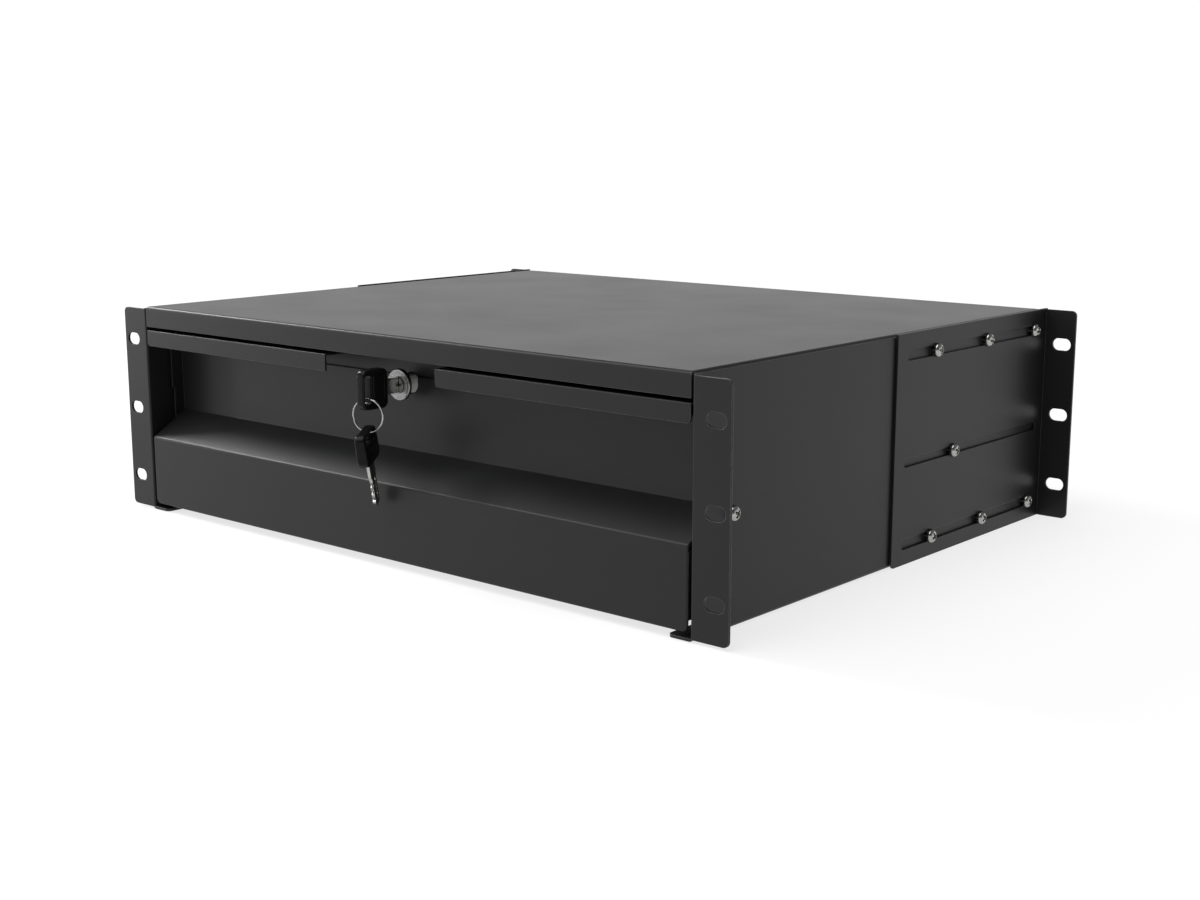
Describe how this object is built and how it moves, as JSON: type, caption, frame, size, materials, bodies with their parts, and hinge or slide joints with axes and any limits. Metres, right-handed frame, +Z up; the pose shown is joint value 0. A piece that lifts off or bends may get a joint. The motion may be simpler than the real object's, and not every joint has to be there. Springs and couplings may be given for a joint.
{
  "type": "sliding rack drawer",
  "caption": "Lockable sliding drawer in a shallow sheet metal case with front ears and adjustable rear brackets for a 19 inch rack.",
  "frame": {"origin": "centre of the front slot pattern on the back face of the front ears, which meets the rack's front rails", "axes": "+X to the right seen from the front, +Y to the back of the rack, +Z up"},
  "size_m": [0.4826, 0.3854, 0.1322],
  "materials": {
    "powder_coat": "fine textured black powder coat, satin, on sheet steel",
    "nickel_screws": "bright nickel plate",
    "zinc_slides": "bright zinc plate",
    "steel_balls": "polished bearing steel",
    "lock_chrome": "satin chrome plate",
    "zinc_lock_parts": "zinc plated steel",
    "key_plastic": "glossy black moulded plastic",
    "key_steel": "nickel plated steel"
  },
  "bodies": {
    "case": {"top_cover": "powder_coat", "side_panel_left": "powder_coat", "side_panel_right": "powder_coat", "rear_panel": "powder_coat", "strike_plate": "powder_coat", "bracket_screws_left": "nickel_screws", "bracket_screws_right": "nickel_screws", "clinch_nuts_left": "nickel_screws", "clinch_nuts_right": "nickel_screws", "slide_screws_left": "nickel_screws", "slide_screws_right": "nickel_screws", "slide_outer_left": "zinc_slides", "slide_outer_right": "zinc_slides"},
    "bracket_left": {"rear_bracket_left": "powder_coat"},
    "bracket_right": {"rear_bracket_right": "powder_coat"},
    "drawer": {"drawer_front": "powder_coat", "front_rail": "powder_coat", "lock_plate": "powder_coat", "drawer_floor": "powder_coat", "drawer_side_left": "powder_coat", "drawer_side_right": "powder_coat", "drawer_back": "powder_coat", "drawer_screws_left": "nickel_screws", "drawer_screws_right": "nickel_screws", "slide_inner_left": "zinc_slides", "slide_inner_right": "zinc_slides", "lock_body": "lock_chrome", "lock_nut": "zinc_lock_parts"},
    "middle_left": {"slide_middle_left": "zinc_slides"},
    "middle_right": {"slide_middle_right": "zinc_slides"},
    "outer_cage_left": {"outer_cage_left": "zinc_slides", "outer_balls_left": "steel_balls"},
    "outer_cage_right": {"outer_cage_right": "zinc_slides", "outer_balls_right": "steel_balls"},
    "inner_cage_left": {"inner_cage_left": "zinc_slides", "inner_balls_left": "steel_balls"},
    "inner_cage_right": {"inner_cage_right": "zinc_slides", "inner_balls_right": "steel_balls"},
    "plug": {"lock_plug": "lock_chrome", "lock_cam": "zinc_lock_parts", "cam_screw": "nickel_screws"},
    "key": {"key_bow": "key_plastic", "key_blade": "key_steel"},
    "ring": {"key_ring": "key_steel"},
    "spare_key": {"spare_key_bow": "key_plastic", "spare_key_blade": "key_steel"}
  },
  "joints": [
    {"name": "drawer_slide", "type": "slide", "parent": "case", "child": "drawer", "axis": [0, -1, 0], "range_m": [0, 0.3]},
    {"name": "middle_slide_left", "type": "slide", "parent": "case", "child": "middle_left", "axis": [0, -1, 0], "range_m": [0, 0.15]},
    {"name": "outer_cage_slide_left", "type": "slide", "parent": "case", "child": "outer_cage_left", "axis": [0, -1, 0], "range_m": [0, 0.075]},
    {"name": "inner_cage_slide_left", "type": "slide", "parent": "case", "child": "inner_cage_left", "axis": [0, -1, 0], "range_m": [0, 0.225]},
    {"name": "middle_slide_right", "type": "slide", "parent": "case", "child": "middle_right", "axis": [0, -1, 0], "range_m": [0, 0.15]},
    {"name": "outer_cage_slide_right", "type": "slide", "parent": "case", "child": "outer_cage_right", "axis": [0, -1, 0], "range_m": [0, 0.075]},
    {"name": "inner_cage_slide_right", "type": "slide", "parent": "case", "child": "inner_cage_right", "axis": [0, -1, 0], "range_m": [0, 0.225]},
    {"name": "bracket_slide_left", "type": "slide", "parent": "case", "child": "bracket_left", "axis": [0, 1, 0], "range_m": [0, 0.0295]},
    {"name": "bracket_slide_right", "type": "slide", "parent": "case", "child": "bracket_right", "axis": [0, 1, 0], "range_m": [0, 0.0295]},
    {"name": "lock_turn", "type": "hinge", "parent": "drawer", "child": "plug", "pos_m": [0, 0.013, 0.036], "axis": [0, 1, 0], "range_deg": [-90, 0]},
    {"name": "key_slide", "type": "slide", "parent": "plug", "child": "key", "axis": [0, -1, 0], "range_m": [0, 0.03]},
    {"name": "ring_swing", "type": "hinge", "parent": "key", "child": "ring", "pos_m": [0, -0.01155, 0.0303], "axis": [1, 0, 0], "range_deg": [-70, 1.5]},
    {"name": "spare_key_swing", "type": "hinge", "parent": "ring", "child": "spare_key", "pos_m": [0.0015, -0.011, 0.0121], "axis": [0.8648, 0.4973, 0.0698], "range_deg": [-50, 1]}
  ],
  "couplings": [
    {"joint": "middle_slide_left", "follows": "drawer_slide", "ratio": 0.5},
    {"joint": "outer_cage_slide_left", "follows": "drawer_slide", "ratio": 0.25},
    {"joint": "inner_cage_slide_left", "follows": "drawer_slide", "ratio": 0.75},
    {"joint": "middle_slide_right", "follows": "drawer_slide", "ratio": 0.5},
    {"joint": "outer_cage_slide_right", "follows": "drawer_slide", "ratio": 0.25},
    {"joint": "inner_cage_slide_right", "follows": "drawer_slide", "ratio": 0.75}
  ]
}
